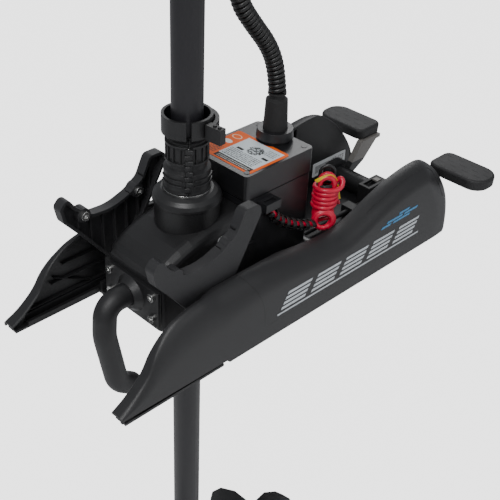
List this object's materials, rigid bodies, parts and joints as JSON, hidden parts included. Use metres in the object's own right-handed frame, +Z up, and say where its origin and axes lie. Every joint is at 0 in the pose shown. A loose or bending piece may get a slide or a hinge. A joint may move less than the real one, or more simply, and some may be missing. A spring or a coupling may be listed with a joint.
{
  "type": "trolling motor",
  "caption": "Bow-mount electric trolling motor with stowing deck mount, steered shaft, drive pod and foot pedal.",
  "frame": {"origin": "centre of the four deck bolts on the underside of the deck plate", "axes": "+Z up along the deployed shaft, -Y towards the bow, +X to the right of someone looking along +Y"},
  "size_m": [0.262, 0.567, 1.185],
  "materials": {
    "black_moulding": "fine moulded texture",
    "smooth_black": "smooth satin",
    "black_aluminium": "black powder coat",
    "shaft_black": "satin black",
    "stainless": "bright",
    "grey_steel": "grey coat",
    "black_rubber": "soft matt",
    "gear_nylon": "natural nylon",
    "motor_steel": "plated",
    "bronze": "sintered bronze",
    "label_orange": "printed film",
    "label_silver": "printed film",
    "board_green": "lacquered board",
    "magnet_grey": "ferrite",
    "copper_iron": "laminated iron and wire",
    "lead_red": "soft sheath",
    "cord_black": "satin sheath"
  },
  "bodies": {
    "base": {"deck_plate": "black_aluminium", "rail_left": "black_aluminium", "rail_right": "black_aluminium", "cover_left": "black_moulding", "cover_right": "black_moulding", "cradle_arm_left": "black_moulding", "cradle_arm_right": "black_moulding", "frame_screws": "stainless", "pivot_brackets": "black_aluminium", "tilt_axle": "stainless", "bearing_blocks": "black_moulding", "stop_bumpers": "black_rubber", "rating_label": "label_silver"},
    "tilt_unit": {"lower_housing": "black_aluminium", "upper_housing": "black_moulding", "dome_cover": "black_moulding", "dome_ring": "stainless", "housing_bushes": "bronze", "front_plate": "black_aluminium", "plate_screws": "stainless", "pull_handle": "black_rubber", "rear_housing": "smooth_black", "lid_gasket": "black_rubber", "box_lid": "smooth_black", "lid_label": "label_orange", "lid_plugs": "smooth_black", "control_board": "board_green", "cord_gland": "smooth_black", "cord_boot": "black_rubber", "steering_motor": "motor_steel", "lead_clamp": "smooth_black", "curly_lower": "cord_black", "power_leads": "lead_red", "power_hank": "lead_red"},
    "motor_rotor": {"motor_pinion": "motor_steel"},
    "idler": {"idler_gear": "gear_nylon"},
    "collar": {"output_gear": "gear_nylon", "drive_tube": "black_aluminium", "collar_left": "black_moulding", "collar_right": "black_moulding", "collar_pins": "stainless"},
    "clamp": {"clamp_lever": "smooth_black"},
    "shaft_unit": {"curly_upper": "cord_black", "shaft": "shaft_black", "head_lower": "black_moulding", "head_upper": "black_moulding", "head_board": "board_green", "pod_body": "black_aluminium", "pod_nose": "black_aluminium", "pod_tail": "black_aluminium", "field_magnets": "magnet_grey", "brush_plate": "black_moulding", "pod_bearings": "bronze"},
    "drive": {"armature": "copper_iron", "propeller": "black_moulding", "prop_nut": "stainless"},
    "pedal": {"pedal_frame": "grey_steel", "pedal_pads": "black_rubber", "pedal_spring": "stainless"},
    "latch": {"latch_bolt": "black_aluminium"}
  },
  "joints": [
    {"name": "tilt", "type": "hinge", "parent": "base", "child": "tilt_unit", "pos_m": [0, -0.056, 0.035], "axis": [-1, 0, 0], "range_deg": [0, 90]},
    {"name": "steer", "type": "hinge", "parent": "tilt_unit", "child": "collar", "pos_m": [0, -0.2, 0.1], "axis": [0, 0, 1], "range_deg": [-180, 180], "deforming": ["curly_lower"]},
    {"name": "idler_spin", "type": "hinge", "parent": "tilt_unit", "child": "idler", "pos_m": [0, -0.15625, 0.056], "axis": [0, 0, 1], "range_deg": [-720, 720]},
    {"name": "rotor_spin", "type": "hinge", "parent": "tilt_unit", "child": "motor_rotor", "pos_m": [0, -0.13025, 0.07], "axis": [0, 0, 1], "range_deg": [-2400, 2400]},
    {"name": "depth_slide", "type": "slide", "parent": "collar", "child": "shaft_unit", "axis": [0, 0, 1], "range_m": [-0.1, 0.336], "deforming": ["curly_upper"]},
    {"name": "clamp_swing", "type": "hinge", "parent": "collar", "child": "clamp", "pos_m": [-0.02482, -0.18061, 0.224], "axis": [0, 0, 1], "range_deg": [0, 70]},
    {"name": "prop_spin", "type": "hinge", "parent": "shaft_unit", "child": "drive", "pos_m": [0, -0.05, -0.5], "axis": [0, 1, 0], "continuous": true},
    {"name": "pedal_press", "type": "hinge", "parent": "base", "child": "pedal", "pos_m": [0, 0.126, 0.0174], "axis": [-1, 0, 0], "range_deg": [0, 20], "stiffness_Nm_per_rad": 4, "springref_deg": -17.19},
    {"name": "latch_pull", "type": "slide", "parent": "base", "child": "latch", "axis": [0, 1, 0], "range_m": [0, 0.0065]}
  ],
  "couplings": [
    {"joint": "idler_spin", "follows": "steer", "ratio": -4},
    {"joint": "rotor_spin", "follows": "steer", "ratio": 13.333},
    {"joint": "latch_pull", "follows": "pedal_press", "m_per_rad": 0.0185}
  ]
}
